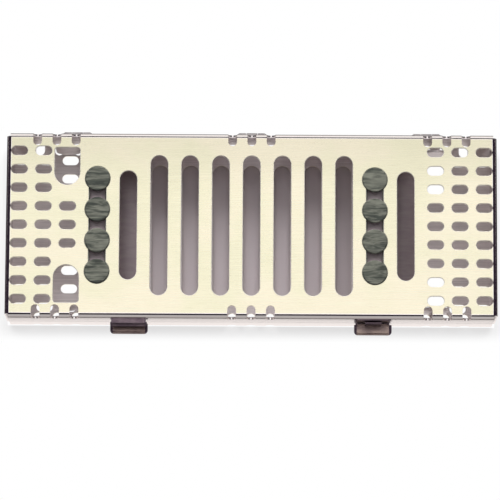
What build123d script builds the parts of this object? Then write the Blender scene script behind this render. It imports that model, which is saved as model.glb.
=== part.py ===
"""Dental instrument cassette, closed: two pierced sheet shells, hinged at the back and latched in front.

X runs along the instruments, Y from the latches (-Y) to the hinges (+Y), and Z is up, with the lid on top.
The origin is under the middle of the whole part, on the surface that it stands on. The lid is the base turned
over about the Y direction, and in the same way the left latch is the right one turned over.
"""

import os

from build123d import *

# ---- Shells: folded stainless sheet -------------------------------------------------------------
CASE_LENGTH = 200.0
CASE_WIDTH = 76.2
SHELL_HEIGHT = 11.0
SHEET = 1.0
BEND_RADIUS = 2.0
EDGE_GAP = 0.3
CORNER_RELIEF = 1.4
RIM_CHAMFER = 0.2

# ---- Piercings in each plate, with x as on the base seen from above -----------------------------
SLOT_PITCH = 12.55
SLOT_WIDTH = 7.0
LONG_SLOT_LENGTH = 57.8
LONG_SLOT_COUNT = 7
SHORT_SLOT_LENGTH = 45.0
SHORT_SLOT_STEPS = (4, -5)
LOBE_DIAMETER = 10.2
LOBE_PITCH = 12.76
LOBE_COUNT = 4
RAIL_STEPS = (5, -4)
VENT_LENGTH = 6.7
VENT_WIDTH = 3.8
VENT_ROW_PITCH = 7.67
VENT_ROWS = 9
VENT_MIDDLE_ROWS = 3
VENT_INNER_X = 74.9
VENT_COLUMN_PITCH = 9.93
VENT_OUTER_COLUMNS = 2
NOTCH_WIDTH = 3.6
NOTCH_REACH = 5.2
NOTCH_DROP = 3.7
NOTCH_PITCH = 7.86
NOTCHES_PER_GROUP = 3
NOTCH_GROUP_FROM_END = 20.4

# ---- Locating tongues, bent in from the D-shaped cut-outs ---------------------------------------
TONGUE_X = 75.2
TONGUE_HOLE_WIDTH = 10.35
TONGUE_HOLE_CORNER = 1.2
TONGUE_HOLE_INNER = 16.5
TONGUE_HOLE_OUTER = 32.1
TONGUE_KERF = 0.2

# ---- Silicone rails -----------------------------------------------------------------------------
RAIL_WIDTH = 11.4
RAIL_LENGTH = 60.0
RAIL_CREST_WIDTH = 8.6
RAIL_CROWN = 1.1
RAIL_END_RADIUS = 1.2
INSTRUMENT_GRIP = 6.6
STUD_CLEARANCE = 0.06
STUD_PROUD = 0.6
STUD_EDGE_RADIUS = 0.45
POCKET_WIDTH = 6.2
POCKET_DEPTH = 1.2

# ---- Back hinges --------------------------------------------------------------------------------
HINGE_FROM_END = 28.3
HINGE_WIDTH = 10.6
LEAF_THICKNESS = 0.55
LEAF_HEIGHT = 5.4
LEAF_CORNER = 1.0
LEAF_TO_BARREL = 0.35
HINGE_PIN_RADIUS = 0.55
PIN_RUNNING_FIT = 0.05
KNUCKLE_STANDOFF = 0.15
KNUCKLE_END_GAP = 0.2
MIDDLE_KNUCKLE = 4.4
PIN_HEAD_HEIGHT = 0.45
PIN_HEAD_MARGIN = 0.35
PIN_HEAD_GAP = 0.05
PIN_HEAD_ROUND = 0.25
WELD_RADIUS = 0.8
WELD_DEPTH = 0.12
WELD_SPACING = 5.6

# ---- Front latches ------------------------------------------------------------------------------
LATCH_FROM_END = 50.3
BRACKET_WIDTH = 13.9
BRACKET_SHEET = 0.5
BRACKET_HEIGHT = 5.0
BRACKET_BEND = 0.4
BRACKET_WEB_REACH = 1.9
EAR_MARGIN = 0.1
PIVOT_HEIGHT = 4.6
LATCH_PIN_RADIUS = 0.45
LEVER_SHEET = 0.6
LEVER_SIDE_GAP = 0.2
LEVER_BACK_GAP = 0.3
THUMB_WIDTH = 15.3
THUMB_REACH = 5.1
THUMB_HEIGHT = 11.0
THUMB_WALL_GAP = 0.35
THUMB_SHOULDER = 0.6
THUMB_SHOULDER_ROUND = 1.8
THUMB_CORNER = 1.5
THUMB_RIM_RADIUS = 0.5
ARM_WIDTH = 6.7
ARM_RISE = 8.0
NOSE_RADIUS = 0.55
NOSE_CLEARANCE = 0.15
KEEPER_WIDTH = 14.4
KEEPER_FOOT_WIDTH = 7.4
KEEPER_SHEET = 0.3
KEEPER_HEIGHT = 3.8
KEEPER_RISE = 5.1
KEEPER_CORNER = 0.3
RIDGE_REACH = 0.5

# ---- Heights and places that follow from the sizes above ----------------------------------------
PLATE_Z = STUD_PROUD
INNER_Z = PLATE_Z + SHEET
MIDDLE_Z = PLATE_Z + SHELL_HEIGHT
EDGE_Z = MIDDLE_Z - EDGE_GAP / 2
CASE_HEIGHT = 2 * MIDDLE_Z

NOTCH_GROUP_X = CASE_LENGTH / 2 - NOTCH_GROUP_FROM_END
HINGE_X = CASE_LENGTH / 2 - HINGE_FROM_END
LATCH_X = CASE_LENGTH / 2 - LATCH_FROM_END

KNUCKLE_BORE = HINGE_PIN_RADIUS + PIN_RUNNING_FIT
KNUCKLE_RADIUS = KNUCKLE_BORE + LEAF_THICKNESS
HINGE_AXIS_OUT = KNUCKLE_RADIUS + KNUCKLE_STANDOFF
BACK_REACH = HINGE_AXIS_OUT + KNUCKLE_RADIUS

LEVER_BORE = LATCH_PIN_RADIUS + PIN_RUNNING_FIT
LEVER_RADIUS = LEVER_BORE + LEVER_SHEET
LEVER_WIDTH = BRACKET_WIDTH - 2 * (BRACKET_SHEET + LEVER_SIDE_GAP)
PIVOT_OUT = BRACKET_SHEET + LEVER_BACK_GAP + LEVER_RADIUS
PIVOT_Z = PLATE_Z + PIVOT_HEIGHT
THUMB_Z = PLATE_Z + THUMB_HEIGHT
NOSE_OUT = RIDGE_REACH + NOSE_CLEARANCE + NOSE_RADIUS
NOSE_Z = THUMB_Z + ARM_RISE - NOSE_RADIUS
RIDGE_Z = NOSE_Z - NOSE_RADIUS - RIDGE_REACH

# The case sits back of the origin by half of what the latches reach further than the hinges.
CASE_Y = (THUMB_REACH - BACK_REACH) / 2
FRONT_Y = CASE_Y - CASE_WIDTH / 2
BACK_Y = CASE_Y + CASE_WIDTH / 2
HINGE_AXIS_Y = BACK_Y + HINGE_AXIS_OUT

# A piece of the base, placed here, is the same piece of the lid.
TURNED_OVER = Location((0, 0, CASE_HEIGHT), (0, 180, 0))


def level(z):
    """Plane at height z, centred on the case, with local x and y as X and Y."""
    return Plane((0, CASE_Y, z))


def upright(y, z):
    """Plane that faces the front, with local x as X and local y up."""
    return Plane((0, y, z), x_dir=(1, 0, 0), z_dir=(0, -1, 0))


def hinge_section(x):
    """Plane square to the hinge axis, centred on it, with local x to the back and local y up."""
    return Plane((x, HINGE_AXIS_Y, MIDDLE_Z), x_dir=(0, 1, 0), z_dir=(1, 0, 0))


def latch_section(x, z):
    """Plane square to X on the front wall's outer face, with local x out of the wall and local y up."""
    return Plane((x, FRONT_Y, z), x_dir=(0, -1, 0), z_dir=(-1, 0, 0))


# ---- Shells -------------------------------------------------------------------------------------
def draw_slots():
    """The long slots, the short slots and the lobed slots that hold the rails."""
    with GridLocations(SLOT_PITCH, 1, LONG_SLOT_COUNT, 1):
        SlotOverall(LONG_SLOT_LENGTH, SLOT_WIDTH, rotation=90)
    with Locations([(step * SLOT_PITCH, 0) for step in SHORT_SLOT_STEPS]):
        SlotOverall(SHORT_SLOT_LENGTH, SLOT_WIDTH, rotation=90)
    with Locations([(step * SLOT_PITCH, 0) for step in RAIL_STEPS]):
        Rectangle(SLOT_WIDTH, LOBE_PITCH * (LOBE_COUNT - 1))
        with GridLocations(1, LOBE_PITCH, 1, LOBE_COUNT):
            Circle(LOBE_DIAMETER / 2)


def draw_vents():
    """The small vents at both ends, with whole columns but for the middle rows between the tongues."""
    outer_x = VENT_INNER_X + VENT_COLUMN_PITCH * (VENT_OUTER_COLUMNS + 1) / 2
    with Locations((outer_x, 0), (-outer_x, 0)):
        with GridLocations(VENT_COLUMN_PITCH, VENT_ROW_PITCH, VENT_OUTER_COLUMNS, VENT_ROWS):
            SlotOverall(VENT_LENGTH, VENT_WIDTH)
    for x, rows in ((-VENT_INNER_X, VENT_ROWS), (VENT_INNER_X, VENT_MIDDLE_ROWS)):
        with Locations((x, 0)):
            with GridLocations(1, VENT_ROW_PITCH, 1, rows):
                SlotOverall(VENT_LENGTH, VENT_WIDTH)


def draw_tongue_holes():
    """The two cut-outs that the tongues leave, each flat towards its wall and round towards the middle."""
    round_y = TONGUE_HOLE_INNER + TONGUE_HOLE_WIDTH / 2
    with BuildSketch(mode=Mode.PRIVATE) as hole:
        with Locations((0, (round_y + TONGUE_HOLE_OUTER) / 2)):
            Rectangle(TONGUE_HOLE_WIDTH, TONGUE_HOLE_OUTER - round_y)
        fillet(hole.vertices().group_by(Axis.Y)[-1], TONGUE_HOLE_CORNER)
        with Locations((0, round_y)):
            Circle(TONGUE_HOLE_WIDTH / 2)
    with Locations((TONGUE_X, 0)):
        add(hole.sketch)
        add(hole.sketch, rotation=180)


def draw_piercings():
    """All that is punched through the plate, apart from the edge notches."""
    draw_slots()
    draw_vents()
    draw_tongue_holes()


def notch_places():
    """The x of every edge notch."""
    middle = (NOTCHES_PER_GROUP - 1) / 2
    steps = [(i - middle) * NOTCH_PITCH for i in range(NOTCHES_PER_GROUP)]
    return [group_x + step for group_x in (-NOTCH_GROUP_X, 0, NOTCH_GROUP_X) for step in steps]


with BuildPart() as base_shell:
    # Plate and four folded walls, open at the corners
    with BuildSketch(level(PLATE_Z)):
        Rectangle(CASE_LENGTH, CASE_WIDTH)
    extrude(amount=EDGE_Z - PLATE_Z)
    fillet(base_shell.faces().sort_by(Axis.Z)[0].edges(), BEND_RADIUS)
    offset(amount=-SHEET, openings=base_shell.faces().sort_by(Axis.Z)[-1])
    with BuildSketch(level(PLATE_Z)):
        with GridLocations(CASE_LENGTH - CORNER_RELIEF, CASE_WIDTH - CORNER_RELIEF, 2, 2):
            Rectangle(CORNER_RELIEF, CORNER_RELIEF)
    extrude(amount=SHELL_HEIGHT, mode=Mode.SUBTRACT)

    # Piercings, with the rims slightly broken on the outer side
    with BuildSketch(level(PLATE_Z)):
        draw_piercings()
    extrude(amount=BEND_RADIUS, mode=Mode.SUBTRACT)
    with BuildSketch(level(PLATE_Z)):
        draw_piercings()
        offset(amount=RIM_CHAMFER, mode=Mode.REPLACE)
    extrude(amount=RIM_CHAMFER, taper=45, mode=Mode.SUBTRACT)

    # Edge notches, round at both ends, through the plate's edge, the bend and the top of the wall
    notch_radius = NOTCH_WIDTH / 2
    notch_round_y = CASE_WIDTH / 2 - NOTCH_REACH + notch_radius
    with BuildSketch(level(PLATE_Z)):
        for notch_x in notch_places():
            with Locations((notch_x, (notch_round_y + CASE_WIDTH / 2) / 2)):
                Rectangle(NOTCH_WIDTH, CASE_WIDTH / 2 - notch_round_y)
            with Locations((notch_x, notch_round_y)):
                Circle(notch_radius)
        mirror(about=Plane.XZ)
    extrude(amount=NOTCH_DROP - notch_radius, mode=Mode.SUBTRACT)
    for wall_y, depth in ((FRONT_Y, -BEND_RADIUS), (BACK_Y, BEND_RADIUS)):
        with BuildSketch(upright(wall_y, PLATE_Z + NOTCH_DROP - notch_radius)):
            with Locations([(notch_x, 0) for notch_x in notch_places()]):
                Circle(notch_radius)
        extrude(amount=depth, mode=Mode.SUBTRACT)

    # The flaps of the D-shaped cut-outs, bent in as locating tongues
    tongue_radius = TONGUE_HOLE_WIDTH / 2 - TONGUE_KERF
    tongue_round_z = PLATE_Z + TONGUE_HOLE_OUTER - TONGUE_HOLE_INNER - tongue_radius
    for side in (1, -1):
        with BuildSketch(upright(CASE_Y + side * TONGUE_HOLE_OUTER, 0)):
            with Locations((TONGUE_X, (INNER_Z + tongue_round_z) / 2)):
                Rectangle(2 * tongue_radius, tongue_round_z - INNER_Z)
            with Locations((TONGUE_X, tongue_round_z)):
                Circle(tongue_radius)
        extrude(amount=-side * SHEET)

with BuildPart() as lid_shell:
    with Locations(TURNED_OVER):
        add(base_shell.part)


# ---- Silicone rails -----------------------------------------------------------------------------
def silicone_rail(x):
    """A rail of the base: a crowned bar along Y on the plate, with studs that fill the lobes of its slot."""
    crest_z = MIDDLE_Z - INSTRUMENT_GRIP / 2
    shoulder_z = crest_z - RAIL_CROWN
    stud_radius = LOBE_DIAMETER / 2 - STUD_CLEARANCE
    with BuildPart() as rail:
        # Studs that fill the lobes
        with BuildSketch(level(0)):
            with Locations((x, 0)):
                with GridLocations(1, LOBE_PITCH, 1, LOBE_COUNT):
                    Circle(stud_radius)
        extrude(amount=INNER_Z + POCKET_DEPTH)
        fillet(rail.edges().group_by(Axis.Z)[0], STUD_EDGE_RADIUS)

        # Bar with a crowned top and rounded ends
        with BuildSketch(upright(CASE_Y, 0)):
            with BuildLine():
                foot = Line((x - RAIL_WIDTH / 2, INNER_Z), (x + RAIL_WIDTH / 2, INNER_Z))
                flank = Line(foot @ 1, (x + RAIL_CREST_WIDTH / 2, shoulder_z))
                crown = ThreePointArc(flank @ 1, (x, crest_z), (x - RAIL_CREST_WIDTH / 2, shoulder_z))
                Line(crown @ 1, foot @ 0)
            make_face()
        extrude(amount=RAIL_LENGTH / 2, both=True)
        crown_ends = rail.edges().filter_by(GeomType.CIRCLE).group_by(SortBy.RADIUS)[-1]
        fillet(crown_ends, RAIL_END_RADIUS)

        # Pockets between the studs, seen in the necks of the slot
        with BuildSketch(level(INNER_Z)):
            with Locations((x, 0)):
                Rectangle(POCKET_WIDTH, LOBE_PITCH * (LOBE_COUNT - 1))
                with GridLocations(1, LOBE_PITCH, 1, LOBE_COUNT):
                    Circle(stud_radius, mode=Mode.SUBTRACT)
        extrude(amount=POCKET_DEPTH, mode=Mode.SUBTRACT)
    return rail.part


with BuildPart() as base_rail_left:
    add(silicone_rail(min(RAIL_STEPS) * SLOT_PITCH))

with BuildPart() as base_rail_right:
    add(silicone_rail(max(RAIL_STEPS) * SLOT_PITCH))

with BuildPart() as lid_rail_left:
    with Locations(TURNED_OVER):
        add(base_rail_right.part)

with BuildPart() as lid_rail_right:
    with Locations(TURNED_OVER):
        add(base_rail_left.part)


# ---- Back hinges --------------------------------------------------------------------------------
def hinge_leaf(x, side, knuckles):
    """A leaf welded to a back wall, above (side 1) or below (side -1) the axis; knuckles are (start, end)."""
    leaf_start = KNUCKLE_RADIUS + LEAF_TO_BARREL
    strip_end = leaf_start + LEAF_THICKNESS
    far_corners = -1 if side > 0 else 0
    with BuildPart() as leaf:
        with BuildSketch(upright(BACK_Y, MIDDLE_Z)) as flange:
            with Locations((x, side * (leaf_start + LEAF_HEIGHT) / 2)):
                Rectangle(HINGE_WIDTH, LEAF_HEIGHT - leaf_start)
            fillet(flange.vertices().group_by(Axis.Y)[far_corners], LEAF_CORNER)
        extrude(amount=-LEAF_THICKNESS)
        with BuildSketch(upright(BACK_Y + LEAF_THICKNESS, MIDDLE_Z)):
            with Locations((x, side * (leaf_start + LEAF_HEIGHT) / 2)):
                with GridLocations(WELD_SPACING, 1, 2, 1):
                    Circle(WELD_RADIUS)
        extrude(amount=WELD_DEPTH, mode=Mode.SUBTRACT)
        for start, end in knuckles:
            with BuildSketch(hinge_section(x + start)):
                Circle(KNUCKLE_RADIUS)
                with Locations((LEAF_THICKNESS / 2 - KNUCKLE_RADIUS, side * strip_end / 2)):
                    Rectangle(LEAF_THICKNESS, strip_end)
                Circle(KNUCKLE_BORE, mode=Mode.SUBTRACT)
            extrude(amount=end - start)
    return leaf.part


def headed_pin(section, length, radius):
    """A pin along X, centred on the section plane, with a staked head past each end of its length."""
    head_radius = radius + PIN_HEAD_MARGIN
    with BuildPart() as pin:
        with BuildSketch(section):
            Circle(radius)
        extrude(amount=length / 2 + PIN_HEAD_GAP, both=True)
        for end in (1, -1):
            with BuildSketch(section.offset(end * (length / 2 + PIN_HEAD_GAP))):
                Circle(head_radius)
            extrude(amount=end * PIN_HEAD_HEIGHT)
        rims = pin.edges().group_by(Axis.X)
        fillet(rims[0] + rims[-1], PIN_HEAD_ROUND)
    return pin.part


half_hinge = HINGE_WIDTH / 2
half_middle = MIDDLE_KNUCKLE / 2
outer_knuckles = [
    (-half_hinge, -half_middle - KNUCKLE_END_GAP),
    (half_middle + KNUCKLE_END_GAP, half_hinge),
]
middle_knuckle = [(-half_middle, half_middle)]
hinges = {}
for place, hinge_x in (("left", -HINGE_X), ("center", 0), ("right", HINGE_X)):
    hinges[f"hinge_lid_leaf_{place}"] = hinge_leaf(hinge_x, 1, middle_knuckle)
    hinges[f"hinge_base_leaf_{place}"] = hinge_leaf(hinge_x, -1, outer_knuckles)
    hinges[f"hinge_pin_{place}"] = headed_pin(hinge_section(hinge_x), HINGE_WIDTH, HINGE_PIN_RADIUS)


# ---- Front latches: the right one, with its bracket on the base ---------------------------------
with BuildPart() as latch_bracket_right:
    # Plate on the wall with a web folded out along its lower edge, then an ear at each end
    with BuildSketch(latch_section(LATCH_X, PIVOT_Z)):
        with Locations((BRACKET_SHEET / 2, 0)):
            Rectangle(BRACKET_SHEET, BRACKET_HEIGHT)
        with Locations((0, -BRACKET_HEIGHT / 2)):
            Rectangle(BRACKET_WEB_REACH, BRACKET_SHEET, align=(Align.MIN, Align.MIN))
    extrude(amount=BRACKET_WIDTH / 2, both=True)
    for side in (1, -1):
        ear_x = LATCH_X + side * (BRACKET_WIDTH - BRACKET_SHEET) / 2
        with BuildSketch(latch_section(ear_x, PIVOT_Z)):
            with Locations((BRACKET_SHEET / 2, 0)):
                Rectangle(BRACKET_SHEET, BRACKET_HEIGHT)
            with Locations((0, -BRACKET_HEIGHT / 2)):
                Rectangle(BRACKET_WEB_REACH, BRACKET_SHEET, align=(Align.MIN, Align.MIN))
            with Locations((PIVOT_OUT, 0)):
                Circle(LEVER_RADIUS + EAR_MARGIN)
            make_hull()
            with Locations((PIVOT_OUT, 0)):
                Circle(LEVER_BORE, mode=Mode.SUBTRACT)
        extrude(amount=BRACKET_SHEET / 2, both=True)
    bends = latch_bracket_right.edges().filter_by(Axis.Z).group_by(Axis.Y)[-1]
    fillet(bends, BRACKET_BEND)

with BuildPart() as latch_pin_right:
    pivot = latch_section(LATCH_X, PIVOT_Z).shift_origin((LATCH_X, FRONT_Y - PIVOT_OUT, PIVOT_Z))
    add(headed_pin(pivot, BRACKET_WIDTH, LATCH_PIN_RADIUS))

with BuildPart() as latch_lever_right:
    # Barrel round the pin, with the sheet rising from it to the thumb tab
    arm_in = PIVOT_OUT - LEVER_RADIUS
    with BuildSketch(latch_section(LATCH_X, PIVOT_Z)):
        with Locations((PIVOT_OUT, 0)):
            Circle(LEVER_RADIUS)
        with Locations((arm_in, 0)):
            Rectangle(LEVER_SHEET, THUMB_Z - PIVOT_Z, align=(Align.MIN, Align.MIN))
        with Locations((PIVOT_OUT, 0)):
            Circle(LEVER_BORE, mode=Mode.SUBTRACT)
    extrude(amount=LEVER_WIDTH / 2, both=True)

    # Thumb tab that spreads from the arm's width over sloping shoulders
    thumb_back = -CASE_WIDTH / 2 - THUMB_WALL_GAP
    thumb_front = -CASE_WIDTH / 2 - THUMB_REACH
    shoulder_y = thumb_back - THUMB_SHOULDER
    with BuildSketch(level(THUMB_Z - LEVER_SHEET / 2)) as thumb:
        with Locations((LATCH_X, 0)):
            Polygon(
                (ARM_WIDTH / 2, thumb_back),
                (-ARM_WIDTH / 2, thumb_back),
                (-THUMB_WIDTH / 2, shoulder_y),
                (-THUMB_WIDTH / 2, thumb_front),
                (THUMB_WIDTH / 2, thumb_front),
                (THUMB_WIDTH / 2, shoulder_y),
                align=None,
            )
        corners = thumb.vertices().group_by(Axis.Y)
        fillet(corners[0], THUMB_CORNER)
        fillet(corners[1], THUMB_SHOULDER_ROUND)
    extrude(amount=LEVER_SHEET / 2, both=True)

    # Rolled rim round the tab, from one side of the arm to the other
    rim_z = THUMB_Z - LEVER_SHEET / 2
    rim_x = THUMB_WIDTH / 2 - THUMB_RIM_RADIUS
    rim_back = thumb_back - THUMB_RIM_RADIUS
    rim_shoulder = shoulder_y - THUMB_RIM_RADIUS
    rim_front = thumb_front + THUMB_RIM_RADIUS
    shoulder_round = THUMB_SHOULDER_ROUND - THUMB_RIM_RADIUS
    corner_round = THUMB_CORNER - THUMB_RIM_RADIUS
    with BuildLine(level(rim_z)) as rim:
        FilletPolyline(
            (LATCH_X + ARM_WIDTH / 2, rim_back),
            (LATCH_X + rim_x, rim_shoulder),
            (LATCH_X + rim_x, rim_front),
            (LATCH_X - rim_x, rim_front),
            (LATCH_X - rim_x, rim_shoulder),
            (LATCH_X - ARM_WIDTH / 2, rim_back),
            radius=(shoulder_round, corner_round, corner_round, shoulder_round),
        )
    with BuildSketch(Plane(rim.line @ 0, z_dir=rim.line % 0)):
        Circle(THUMB_RIM_RADIUS)
    sweep(path=rim.line)
    with Locations(rim.line @ 0, rim.line @ 1):
        Sphere(THUMB_RIM_RADIUS)

    # Arm above the tab, curled into a nose
    with BuildSketch(latch_section(LATCH_X, THUMB_Z)):
        with Locations((arm_in, -LEVER_SHEET / 2)):
            Rectangle(LEVER_SHEET, NOSE_Z - THUMB_Z + LEVER_SHEET / 2, align=(Align.MIN, Align.MIN))
        with Locations((NOSE_OUT, NOSE_Z - THUMB_Z)):
            Circle(NOSE_RADIUS)
    extrude(amount=ARM_WIDTH / 2, both=True)

# The keeper of the right latch, on the lid: a plate that narrows downward, with a low ridge for the nose
with BuildPart() as latch_keeper_right:
    with BuildSketch(upright(FRONT_Y, MIDDLE_Z + KEEPER_RISE)) as keeper_plate:
        with Locations((LATCH_X, 0)):
            Polygon(
                (-KEEPER_FOOT_WIDTH / 2, 0),
                (KEEPER_FOOT_WIDTH / 2, 0),
                (KEEPER_WIDTH / 2, KEEPER_HEIGHT),
                (-KEEPER_WIDTH / 2, KEEPER_HEIGHT),
                align=None,
            )
        fillet(keeper_plate.vertices(), KEEPER_CORNER)
    extrude(amount=KEEPER_SHEET)
    with BuildSketch(latch_section(LATCH_X, RIDGE_Z)):
        Circle(RIDGE_REACH)
        Rectangle(RIDGE_REACH, 2 * RIDGE_REACH, align=(Align.MAX, Align.CENTER), mode=Mode.SUBTRACT)
    extrude(amount=ARM_WIDTH / 2, both=True)

right_latch = {
    "latch_bracket": latch_bracket_right,
    "latch_pin": latch_pin_right,
    "latch_lever": latch_lever_right,
    "latch_keeper": latch_keeper_right,
}
latches = {}
for name, right in right_latch.items():
    with BuildPart() as turned:
        with Locations(TURNED_OVER):
            add(right.part)
    latches[f"{name}_right"] = right.part
    latches[f"{name}_left"] = turned.part


# ---- Hand-over ----------------------------------------------------------------------------------
pieces = {
    "base_shell": base_shell.part,
    "lid_shell": lid_shell.part,
    "base_rail_left": base_rail_left.part,
    "base_rail_right": base_rail_right.part,
    "lid_rail_left": lid_rail_left.part,
    "lid_rail_right": lid_rail_right.part,
    **hinges,
    **latches,
}
os.makedirs("parts", exist_ok=True)
for name, piece in pieces.items():
    piece.label = name
    export_step(piece, f"parts/{name}.step")
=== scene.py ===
"""Looks of the dental instrument cassette: steel and silicone finishes, studio and camera."""

import math

import bpy
from mathutils import Matrix, Vector

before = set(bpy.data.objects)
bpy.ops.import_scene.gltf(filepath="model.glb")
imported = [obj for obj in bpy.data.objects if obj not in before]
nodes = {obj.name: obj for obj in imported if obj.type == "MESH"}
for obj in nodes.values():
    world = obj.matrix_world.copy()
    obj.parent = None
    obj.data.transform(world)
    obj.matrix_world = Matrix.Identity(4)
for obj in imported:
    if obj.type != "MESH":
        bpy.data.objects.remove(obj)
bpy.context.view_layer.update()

MM = 0.001


def millimetres(*values):
    """The same lengths in metres."""
    return tuple(value * MM for value in values)


# ---- Places in the CAD frame, in metres ---------------------------------------------------------
PLATE_CENTRE = Vector((0, 1.325, 22.6)) * MM
CASE_Y = PLATE_CENTRE.y
HALF_LENGTH = 100.0 * MM
HALF_WIDTH = 38.1 * MM
BEND_RADIUS = 2.0 * MM
LID_INNER_Z = 21.6 * MM
BASE_INNER_Z = 1.6 * MM
MIDDLE_Z = 11.6 * MM
LATCH_X = 49.7 * MM

# ---- Camera -------------------------------------------------------------------------------------
IMAGE_SIZE = 500
SENSOR_WIDTH = 36.0
LENS = 265.6
CAMERA_DISTANCE = 1.5
CAMERA_ELEVATION = math.radians(79.6)
CAMERA_ROLL = math.radians(0.30)
PLATE_CENTRE_PX = (251.34, 225.43)
CLIP_NEAR = 0.01
CLIP_FAR = 50


def make_camera():
    """Camera that puts the middle of the lid's outer face at its pixel."""
    focal_px = LENS / SENSOR_WIDTH * IMAGE_SIZE
    turn_up = math.atan((IMAGE_SIZE / 2 - PLATE_CENTRE_PX[1]) / focal_px)
    turn_side = math.atan((PLATE_CENTRE_PX[0] - IMAGE_SIZE / 2) / focal_px)
    back = Vector((0, -math.cos(CAMERA_ELEVATION), math.sin(CAMERA_ELEVATION)))
    tilt = CAMERA_ELEVATION + turn_up
    forward = Vector((0, math.cos(tilt), -math.sin(tilt)))
    up = Vector((0, math.sin(tilt), math.cos(tilt)))
    right = forward.cross(up)
    forward, right = (
        forward * math.cos(turn_side) - right * math.sin(turn_side),
        right * math.cos(turn_side) + forward * math.sin(turn_side),
    )
    right, up = (
        right * math.cos(CAMERA_ROLL) + up * math.sin(CAMERA_ROLL),
        up * math.cos(CAMERA_ROLL) - right * math.sin(CAMERA_ROLL),
    )
    data = bpy.data.cameras.new("camera")
    data.lens = LENS
    data.sensor_width = SENSOR_WIDTH
    data.clip_start = CLIP_NEAR
    data.clip_end = CLIP_FAR
    camera = bpy.data.objects.new("camera", data)
    place = Matrix.Translation(PLATE_CENTRE + back * CAMERA_DISTANCE)
    camera.matrix_world = place @ Matrix((right, up, -forward)).transposed().to_4x4()
    bpy.context.scene.collection.objects.link(camera)
    bpy.context.scene.camera = camera


# ---- Node helpers -------------------------------------------------------------------------------
class Graph:
    """Short calls that add linked nodes to a tree."""

    # Numbers of the mix node's two inputs and of its output, for each kind of value
    MIX_PORTS = {"FLOAT": ("2", "3", 0), "VECTOR": ("4", "5", 1), "RGBA": ("6", "7", 2)}

    def __init__(self, tree):
        self.tree = tree
        tree.nodes.clear()

    def add(self, kind, settings=None, **inputs):
        """A node with its properties and its inputs, which are numbers, tuples or sockets."""
        node = self.tree.nodes.new(kind)
        for name, value in (settings or {}).items():
            setattr(node, name, value)
        for name, value in inputs.items():
            self.feed(node, name.replace("_", " "), value)
        return node

    def feed(self, node, name, value):
        """Sets or links one input, found by its name in any case or by its number."""
        if name.isdigit():
            socket = node.inputs[int(name)]
        else:
            socket = next(s for s in node.inputs if s.name.lower() == name.lower() and s.enabled)
        if isinstance(value, bpy.types.NodeSocket):
            self.tree.links.new(value, socket)
        else:
            socket.default_value = value

    def math(self, operation, a, b=0.0, clamp=False):
        """One operation on numbers."""
        node = self.add("ShaderNodeMath", {"operation": operation, "use_clamp": clamp})
        self.feed(node, "0", a)
        self.feed(node, "1", b)
        return node.outputs[0]

    def product(self, *factors):
        """All factors multiplied."""
        result = factors[0]
        for factor in factors[1:]:
            result = self.math("MULTIPLY", result, factor)
        return result

    def ramp(self, value, span, levels=(0.0, 1.0)):
        """A smooth step from the first level to the second, as value crosses the span."""
        node = self.add("ShaderNodeMapRange", {"interpolation_type": "SMOOTHSTEP"}, value=value)
        for number, limit in enumerate((*span, *levels), start=1):
            self.feed(node, str(number), limit)
        return node.outputs[0]

    def mix_values(self, kind, factor, a, b):
        """Value a where factor is 0 and value b where it is 1."""
        node = self.add("ShaderNodeMix", {"data_type": kind})
        port_a, port_b, output = self.MIX_PORTS[kind]
        self.feed(node, "0", factor)
        self.feed(node, port_a, a)
        self.feed(node, port_b, b)
        return node.outputs[output]

    def blend(self, factor, a, b):
        """Mixes numbers."""
        return self.mix_values("FLOAT", factor, a, b)

    def mix(self, factor, a, b):
        """Mixes colours, which are sockets or tuples of three."""
        a, b = (c if isinstance(c, bpy.types.NodeSocket) else (*c, 1) for c in (a, b))
        return self.mix_values("RGBA", factor, a, b)

    def mix_shaders(self, factor, a, b):
        """Node that shows shader a where factor is 0 and shader b where it is 1."""
        node = self.add("ShaderNodeMixShader")
        self.feed(node, "0", factor)
        self.feed(node, "1", a.outputs[0])
        self.feed(node, "2", b.outputs[0])
        return node

    def scale(self, colour, factor):
        """A colour times a number."""
        node = self.add("ShaderNodeVectorMath", {"operation": "SCALE"})
        self.feed(node, "0", colour)
        self.feed(node, "3", factor)
        return node.outputs[0]

    def noise(self, coordinates, scale, detail=3.0, roughness=0.5, distortion=0.0):
        """Noise with its own scale for each axis, per metre."""
        mapping = self.add("ShaderNodeMapping", vector=coordinates, scale=scale)
        node = self.add(
            "ShaderNodeTexNoise",
            vector=mapping.outputs[0],
            scale=1.0,
            detail=detail,
            roughness=roughness,
            distortion=distortion,
        )
        return node.outputs[0]

    def split(self, vector):
        """The three parts of a vector."""
        return self.add("ShaderNodeSeparateXYZ", vector=vector).outputs

    def facing(self):
        """The face's own normal, in the world and in the object."""
        world = self.add("ShaderNodeNewGeometry").outputs["True Normal"]
        settings = {"vector_type": "NORMAL", "convert_from": "WORLD", "convert_to": "OBJECT"}
        return world, self.add("ShaderNodeVectorTransform", settings, vector=world).outputs[0]

    def distance(self, value, centre):
        """How far a number lies from another, to either side."""
        return self.math("ABSOLUTE", self.math("SUBTRACT", value, centre))

    def off_middle(self, xyz):
        """How far a place is from the case's middle, along X and along Y."""
        return self.math("ABSOLUTE", xyz[0]), self.distance(xyz[1], CASE_Y)

    def within(self, off_x, off_y, inset, softness):
        """1 at least inset inside the case's outline, falling to 0 over the softness round that."""
        return self.product(
            self.ramp(off_x, (HALF_LENGTH - inset + softness, HALF_LENGTH - inset)),
            self.ramp(off_y, (HALF_WIDTH - inset + softness, HALF_WIDTH - inset)),
        )

    def depth(self, height, inner_z, inward):
        """How far a height lies past a plate's inner face, towards the inside of the box."""
        return self.product(self.math("SUBTRACT", height, inner_z), inward)


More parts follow.
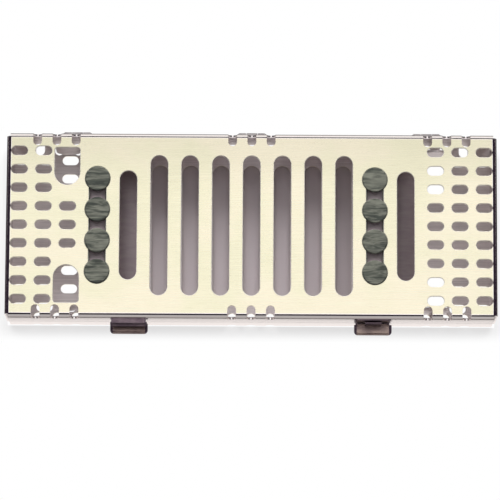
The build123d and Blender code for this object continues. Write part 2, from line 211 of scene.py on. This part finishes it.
def new_material(name):
    """A material with an empty tree, its graph, and its object coordinates."""
    material = bpy.data.materials.new(name)
    material.use_nodes = True
    graph = Graph(material.node_tree)
    return material, graph, graph.add("ShaderNodeTexCoord").outputs["Object"]


def finish_material(graph, shader, **inputs):
    """Feeds the shader and links it to the output."""
    for name, value in inputs.items():
        graph.feed(shader, name.replace("_", " "), value)
    output = graph.add("ShaderNodeOutputMaterial")
    graph.tree.links.new(shader.outputs[0], output.inputs[0])


# ---- Sheet of the base and the lid --------------------------------------------------------------
PLATE_STEEL = (0.945, 0.900, 0.668)
WARM_STEEL = (0.945, 0.870, 0.675)
WALL_STEEL = (0.93, 0.87, 0.84)
# Painted highlight: the chamfered rims round the openings are paler than the plate
RIM_HIGHLIGHT_STEEL = (0.93, 0.90, 0.82)
# Painted shade: the inside is a cooler, pinkish copy of the same steel
INNER_SHADE_TINTED_STEEL = (0.91, 0.85, 0.85)

PLATE_ROUGHNESS = (0.25, 0.33)
CUT_ROUGHNESS = 0.5
RIM_ROUGHNESS = 0.3
WALL_ROUGHNESS = 0.25
BEND_ROUGHNESS = 0.12
INNER_ROUGHNESS = 0.5
RIM_METALLIC = 0.5
INNER_METALLIC = 0.55

# Noises per metre, and the tones that they give
PLATE_GRAIN = (34, 2400, 2400)
PLATE_CLOUDS = (22, 34, 34)
GRAIN_TONES = (-0.17, 0.13)
CLOUD_TONES = (0.94, 1.04)
WARM_CLOUDS = (0.42, 0.60)
GRAIN_BUMP = 0.12
GRAIN_DEPTH = 0.02 * MM

# Painted shade: the plate's colour darkens towards the hinges over this stretch of Y
HINGE_SHADE_STRETCH = millimetres(12, 37)
HINGE_SHADE_TONES = (1.0, 0.87)

# Upright part of a face's normal, which is 1 on a level face, at the limits of each kind of face
CUT_FACING = (0.5, 0.3)
RIM_FACING = ((0.3, 0.5), (0.95, 0.85))

# The limits between inside and outside lie within the sheet's thickness, where there is no face
INSIDE_DEPTH = millimetres(-0.20, -0.05)
INSIDE_INSET = 0.8 * MM
INSIDE_SOFTNESS = 0.2 * MM
FLAT_SOFTNESS = 0.1 * MM
BEND_DEPTH = millimetres(1.1, 0.7)


def shell_steel(name, inner_z, inward):
    """Brushed sheet: grain along X, smooth bends, satin cut edges with rims painted paler as
    highlight, painted shade towards the hinges, and a duller inside in a cooler tint of painted
    shade.

    inward is 1 where the inside lies above inner_z, as in the base, and -1 in the lid.
    """
    material, graph, place = new_material(name)
    xyz = graph.split(place)
    world_facing, facing = graph.facing()
    flatness = graph.math("ABSOLUTE", graph.split(facing)[2])
    off_x, off_y = graph.off_middle(xyz)
    depth = graph.depth(xyz[2], inner_z, inward)

    # Inside of the tray: past the plate's inner face and within the walls
    inside = graph.product(
        graph.ramp(depth, INSIDE_DEPTH),
        graph.within(off_x, off_y, INSIDE_INSET, INSIDE_SOFTNESS),
    )

    # The flat of the plate with its cut walls and their chamfered rims, and the bends round it
    flat = graph.within(off_x, off_y, BEND_RADIUS, FLAT_SOFTNESS)
    cut = graph.product(flat, graph.ramp(flatness, CUT_FACING))
    rim = graph.product(flat, *[graph.ramp(flatness, span) for span in RIM_FACING])
    bend = graph.product(graph.math("SUBTRACT", 1.0, flat), graph.ramp(depth, BEND_DEPTH))

    grain = graph.noise(place, PLATE_GRAIN, detail=6.0, roughness=0.72)
    clouds = graph.noise(place, PLATE_CLOUDS, detail=4.0, roughness=0.6)
    fine_tone = graph.ramp(grain, (0.25, 0.75), GRAIN_TONES)
    tone = graph.math("ADD", fine_tone, graph.ramp(clouds, (0.3, 0.7), CLOUD_TONES))
    # Painted shade: the plate's tone falls towards the hinges, standing in for light that fades
    # there
    tone_with_hinge_shade = graph.product(tone, graph.ramp(xyz[1], HINGE_SHADE_STRETCH, HINGE_SHADE_TONES))
    warmth = graph.ramp(clouds, WARM_CLOUDS)
    plate = graph.scale(graph.mix(warmth, PLATE_STEEL, WARM_STEEL), tone_with_hinge_shade)
    # Walls and bends, and the flat, whose rims are painted paler as highlight
    outer = graph.mix(flat, WALL_STEEL, graph.mix(rim, plate, RIM_HIGHLIGHT_STEEL))

    plate_roughness = graph.ramp(grain, (0.3, 0.7), PLATE_ROUGHNESS)
    cut_roughness = graph.blend(cut, plate_roughness, CUT_ROUGHNESS)
    flat_roughness = graph.blend(rim, cut_roughness, RIM_ROUGHNESS)
    side_roughness = graph.blend(bend, WALL_ROUGHNESS, BEND_ROUGHNESS)
    outer_roughness = graph.blend(flat, side_roughness, flat_roughness)

    # The flat keeps its true normals, so that its shading stays even between the many openings
    smoothed = graph.add("ShaderNodeNewGeometry").outputs["Normal"]
    bump = graph.add(
        "ShaderNodeBump",
        height=grain,
        strength=graph.product(flat, GRAIN_BUMP),
        distance=GRAIN_DEPTH,
        normal=graph.mix_values("VECTOR", flat, smoothed, world_facing),
    )
    finish_material(
        graph,
        graph.add("ShaderNodeBsdfPrincipled"),
        # Inside, the steel takes the cooler tint of painted shade
        base_color=graph.mix(inside, outer, graph.scale(INNER_SHADE_TINTED_STEEL, tone)),
        metallic=graph.blend(inside, graph.blend(rim, 1.0, RIM_METALLIC), INNER_METALLIC),
        roughness=graph.blend(inside, outer_roughness, INNER_ROUGHNESS),
        normal=bump.outputs[0],
    )
    return material


# ---- Steel of the hinges and the latches --------------------------------------------------------
FITTING_GRAIN = (120, 5200, 5200)
FITTING_TONES = (0.88, 1.1)
FITTING_BUMP = 0.15

HINGE_PATCHES = (260, 420, 420)
HINGE_STEEL = (0.62, 0.58, 0.57)
HINGE_PATCH = (0.45, 0.41, 0.42)
HINGE_ROUGHNESS = 0.28

LATCH_PATCHES = (240, 420, 420)
TAB_STEEL = (0.44, 0.335, 0.295)
TAB_PATCH = (0.30, 0.225, 0.215)
# Painted shade: the fittings and the tab's sides are darker shaded copies of the latch steel
SHADED_FITTING_STEEL = (0.25, 0.190, 0.215)
SHADED_FITTING_PATCH = (0.165, 0.122, 0.148)
SHADED_SIDE_STEEL = (0.13, 0.095, 0.125)
LATCH_ROUGHNESS = 0.36
TAB_HALF_THICKNESS = millimetres(1.3, 1.9)
TAB_HALF_WIDTH = millimetres(6.4, 6.7)


def satin_steel(graph, place, tint, roughness):
    """Satin finish of a small fitting, with fine grain along X."""
    grain = graph.noise(place, FITTING_GRAIN, detail=4.0, roughness=0.6)
    tone = graph.ramp(grain, (0.3, 0.7), FITTING_TONES)
    rough = graph.ramp(grain, (0.3, 0.7), (roughness - 0.05, roughness + 0.07))
    bump = graph.add("ShaderNodeBump", height=grain, strength=FITTING_BUMP, distance=GRAIN_DEPTH)
    finish_material(
        graph,
        graph.add("ShaderNodeBsdfPrincipled", metallic=1.0),
        base_color=graph.scale(tint, tone),
        roughness=rough,
        normal=bump.outputs[0],
    )


def hinge_steel():
    """Steel of the hinges, with duller patches."""
    material, graph, place = new_material("hinge_steel")
    patches = graph.ramp(graph.noise(place, HINGE_PATCHES), (0.38, 0.68))
    satin_steel(graph, place, graph.mix(patches, HINGE_STEEL, HINGE_PATCH), HINGE_ROUGHNESS)
    return material


def latch_steel():
    """Latch steel in a dark brownish tint, with fittings and tab sides painted darker as shade."""
    material, graph, place = new_material("latch_steel")
    xyz = graph.split(place)
    patches = graph.ramp(graph.noise(place, LATCH_PATCHES), (0.36, 0.66))
    tab = graph.mix(patches, TAB_STEEL, TAB_PATCH)
    fitting = graph.mix(patches, SHADED_FITTING_STEEL, SHADED_FITTING_PATCH)
    # Painted shade on the fittings, off the tab's height, and on the tab's sides
    off_tab = graph.ramp(graph.distance(xyz[2], MIDDLE_Z), TAB_HALF_THICKNESS)
    from_latch = graph.distance(graph.math("ABSOLUTE", xyz[0]), LATCH_X)
    shaded_side = graph.ramp(from_latch, TAB_HALF_WIDTH)
    tint = graph.mix(shaded_side, graph.mix(off_tab, tab, fitting), SHADED_SIDE_STEEL)
    satin_steel(graph, place, tint, LATCH_ROUGHNESS)
    return material


# ---- Silicone of the rails ----------------------------------------------------------------------
SILICONE_STREAKS = (90, 520, 520)
SILICONE_FINE = (260, 1500, 1500)
STUD_DARK = (0.036, 0.042, 0.034)
STUD_PALE = (0.17, 0.175, 0.142)
# Painted shade: the bar inside the plate is a purplish grey copy of the silicone
SHADE_TINTED_BAR_DARK = (0.31, 0.255, 0.275)
SHADE_TINTED_BAR_PALE = (0.36, 0.305, 0.315)
STUD_TONES = (0.82, 1.22)
SILICONE_ROUGHNESS = (0.42, 0.58)
SILICONE_BUMP = 0.2
SILICONE_DEPTH = 0.06 * MM
BAR_DEPTH = millimetres(0.1, 0.3)


def silicone(name, inner_z, inward):
    """Moulded silicone: dark marbled studs outside the plate, and a smooth bar inside it in a
    purplish grey of painted shade.

    inward is 1 where the bar lies above inner_z, as in the base, and -1 in the lid.
    """
    material, graph, place = new_material(name)
    bar = graph.ramp(graph.depth(graph.split(place)[2], inner_z, inward), BAR_DEPTH)
    streaks = graph.noise(place, SILICONE_STREAKS, roughness=0.6, distortion=0.9)
    fine = graph.noise(place, SILICONE_FINE)
    stud = graph.mix(graph.ramp(streaks, (0.38, 0.64)), STUD_DARK, STUD_PALE)
    stud = graph.scale(stud, graph.ramp(fine, (0.3, 0.75), STUD_TONES))
    # The bar's purplish grey is painted shade
    smooth = graph.mix(graph.ramp(streaks, (0.3, 0.7)), SHADE_TINTED_BAR_DARK, SHADE_TINTED_BAR_PALE)
    bump = graph.add(
        "ShaderNodeBump", height=fine, strength=SILICONE_BUMP, distance=SILICONE_DEPTH
    )
    finish_material(
        graph,
        graph.add("ShaderNodeBsdfPrincipled", metallic=0.0),
        base_color=graph.mix(bar, stud, smooth),
        roughness=graph.ramp(streaks, (0.3, 0.7), SILICONE_ROUGHNESS),
        normal=bump.outputs[0],
    )
    return material


def dress(material, *names):
    """Gives CAD nodes one material."""
    for name in names:
        slots = nodes[name].data.materials
        slots.clear()
        slots.append(material)


def make_finishes():
    """Dresses every CAD node."""
    dress(shell_steel("lid_steel", LID_INNER_Z, -1), "lid_shell")
    dress(shell_steel("base_steel", BASE_INNER_Z, 1), "base_shell")
    dress(silicone("lid_silicone", LID_INNER_Z, -1), "lid_rail_left", "lid_rail_right")
    dress(silicone("base_silicone", BASE_INNER_Z, 1), "base_rail_left", "base_rail_right")
    dress(hinge_steel(), *[n for n in nodes if n.startswith("hinge")])
    dress(latch_steel(), *[n for n in nodes if n.startswith("latch")])


# ---- Floor --------------------------------------------------------------------------------------
WHITE = (1, 1, 1)
SHADE = (0.022, 0.014, 0.026)
FLOOR_HALF = 6.0
FLOOR_DROP = 0.05 * MM
FLOOR_GREY = (0.85, 0.85, 0.85)
# Painted shade: the floor is a darker purplish grey under the case
UNDER_CASE_SHADE_GREY = (0.62, 0.56, 0.58)

# Under the case the floor is white past these distances from its middle
OPEN_END = millimetres(66.0, 67.0)
OPEN_EDGE = millimetres(31.5, 32.0)

# Whiteness of the floor from the case's outline outwards
SHADOW_REACH = millimetres(0.0, 7.0)
SHADOW_WHITENESS = (0.62, 1.0)

# What the steel mirrors of the floor, by the distance out from the front, the back and the ends
SWEEP_TINT = (1.0, 0.96, 0.95)
BACK_STARTS = millimetres(0.0, 1.0)
FRONT_DARKENS = millimetres(4, 6)
FRONT_DARK = 0.10
FRONT_BRIGHTENS = millimetres(18, 34)
FRONT_GAIN = 0.33
BACK_BRIGHTENS = millimetres(60, 110)
BACK_DARK = 0.22
END_DARKENS = millimetres(8, 14)
END_HALF_WIDTH = millimetres(70, 52)


def make_floor():
    """Pale floor that keeps the shadow close to the case and is plain white farther out.

    Steel mirrors a sweep in its place: white, then dark, then grey before the front wall; grey, then
    white behind the back wall; and dark strips beside the ends.
    """
    mesh = bpy.data.meshes.new("floor")
    corners = [(-1, -1), (1, -1), (1, 1), (-1, 1)]
    points = [(x * FLOOR_HALF, y * FLOOR_HALF, -FLOOR_DROP) for x, y in corners]
    mesh.from_pydata(points, [], [(0, 1, 2, 3)])
    floor = bpy.data.objects.new("floor", mesh)
    bpy.context.scene.collection.objects.link(floor)

    material, graph, place = new_material("floor")
    xyz = graph.split(place)
    off_x, off_y = graph.off_middle(xyz)
    out_x = graph.math("MAXIMUM", graph.math("SUBTRACT", off_x, HALF_LENGTH), 0.0)
    out_y = graph.math("MAXIMUM", graph.math("SUBTRACT", off_y, HALF_WIDTH), 0.0)
    squares = graph.math("ADD", graph.product(out_x, out_x), graph.product(out_y, out_y))
    distance = graph.math("SQRT", squares)
    under = graph.ramp(distance, millimetres(0.1, 0.0))
    not_under = graph.math("SUBTRACT", 1.0, under)
    open_part = graph.math("MAXIMUM", graph.ramp(off_x, OPEN_END), graph.ramp(off_y, OPEN_EDGE))
    open_zone = graph.product(under, open_part)

    # What the camera sees
    path = graph.add("ShaderNodeLightPath").outputs
    beyond = graph.product(graph.ramp(distance, SHADOW_REACH, SHADOW_WHITENESS), not_under)
    whiteness = graph.product(graph.math("MAXIMUM", beyond, open_zone), path["Is Camera Ray"])
    # Painted shade: darker purplish grey under the case
    grey = graph.mix(under, FLOOR_GREY, UNDER_CASE_SHADE_GREY)
    seen = graph.mix_shaders(
        whiteness,
        graph.add("ShaderNodeBsdfDiffuse", color=grey),
        graph.add("ShaderNodeEmission", color=(*WHITE, 1), strength=1.0),
    )

    # What the steel sees
    reflected = graph.math("ADD", path["Is Glossy Ray"], path["Is Transmission Ray"], clamp=True)
    near_front = graph.blend(graph.ramp(out_y, FRONT_DARKENS), 1.0, FRONT_DARK)
    far_front = graph.ramp(out_y, FRONT_BRIGHTENS, (0.0, FRONT_GAIN))
    front = graph.math("ADD", near_front, far_front)
    back = graph.ramp(out_y, BACK_BRIGHTENS, (BACK_DARK, 1.0))
    level = graph.blend(graph.ramp(xyz[1], BACK_STARTS), front, back)
    level = graph.math("MAXIMUM", level, open_zone)
    at_end = graph.product(graph.ramp(out_x, END_DARKENS), graph.ramp(off_y, END_HALF_WIDTH))
    mirrored = graph.mix(at_end, graph.scale(SWEEP_TINT, level), SHADE)
    swept = graph.math("MAXIMUM", not_under, open_zone)
    shader = graph.mix_shaders(
        graph.product(reflected, swept),
        seen,
        graph.add("ShaderNodeEmission", color=mirrored, strength=1.0),
    )
    finish_material(graph, shader)
    mesh.materials.append(material)


# ---- Surroundings -------------------------------------------------------------------------------
# The overhead light is a round patch of the sky, whose place and radii are parts of a unit vector
CAP_Y = 0.15
CAP_EDGE = (0.34, 0.27)
CAP_LIGHT = 1.30

# Panels behind and before the case: how far their directions turn to the back, and zenith angles
BEHIND_TURN = (0.32, 0.46)
BEHIND_ZENITH = (math.radians(48), math.radians(54))
BEFORE_TURN = (0.04, -0.16)
BEFORE_ZENITH = (math.radians(42), math.radians(50))
BEFORE_LIGHT = 0.48
LEAST_LEVEL = 0.001


def make_world():
    """Studio round the object: overhead light, white panel behind, grey panel before, and shade."""
    world = bpy.data.worlds.new("studio")
    bpy.context.scene.world = world
    world.use_nodes = True
    graph = Graph(world.node_tree)
    xyz = graph.split(graph.add("ShaderNodeTexCoord").outputs["Generated"])
    zenith = graph.math("ARCCOSINE", xyz[2])
    level = graph.math("SQRT", graph.math("SUBTRACT", 1.0, graph.product(xyz[2], xyz[2])))
    backward = graph.math("DIVIDE", xyz[1], graph.math("MAXIMUM", level, LEAST_LEVEL))

    off_cap = graph.math("SUBTRACT", xyz[1], CAP_Y)
    squares = graph.math("ADD", graph.product(xyz[0], xyz[0]), graph.product(off_cap, off_cap))
    above = graph.math("GREATER_THAN", xyz[2], 0.0)
    cap = graph.product(above, graph.ramp(graph.math("SQRT", squares), CAP_EDGE), CAP_LIGHT)
    behind = graph.product(
        graph.ramp(backward, BEHIND_TURN),
        graph.ramp(zenith, BEHIND_ZENITH),
    )
    before = graph.product(
        graph.ramp(backward, BEFORE_TURN, (0.0, BEFORE_LIGHT)),
        graph.ramp(zenith, BEFORE_ZENITH),
    )
    light = graph.math("ADD", cap, graph.math("ADD", behind, before))

    is_camera = graph.add("ShaderNodeLightPath").outputs["Is Camera Ray"]
    shown = graph.mix(graph.math("MINIMUM", light, 1.0), SHADE, WHITE)
    background = graph.add(
        "ShaderNodeBackground",
        color=graph.mix(is_camera, shown, WHITE),
        strength=graph.math("MAXIMUM", graph.math("MAXIMUM", light, 1.0), is_camera),
    )
    output = graph.add("ShaderNodeOutputWorld")
    graph.tree.links.new(background.outputs[0], output.inputs[0])


# ---- Lamps --------------------------------------------------------------------------------------
LAMP_X = 0.6
LAMP_Y = 0.9
LAMP_Z = 0.8
LAMP_SIZE = 0.7
LAMP_POWER = 12.5


def make_lamp(name, place):
    """Square soft lamp that lights matt surfaces; the metal reflects the studio round it."""
    data = bpy.data.lights.new(name, "AREA")
    data.size = LAMP_SIZE
    data.energy = LAMP_POWER
    lamp = bpy.data.objects.new(name, data)
    lamp.location = place
    lamp.rotation_mode = "QUATERNION"
    lamp.rotation_quaternion = (-Vector(place)).to_track_quat("-Z", "Y")
    lamp.visible_glossy = False
    lamp.visible_camera = False
    bpy.context.scene.collection.objects.link(lamp)


make_camera()
make_finishes()
make_floor()
make_world()
make_lamp("lamp_left", (-LAMP_X, LAMP_Y, LAMP_Z))
make_lamp("lamp_right", (LAMP_X, LAMP_Y, LAMP_Z))

scene = bpy.context.scene
scene.view_settings.view_transform = "Standard"
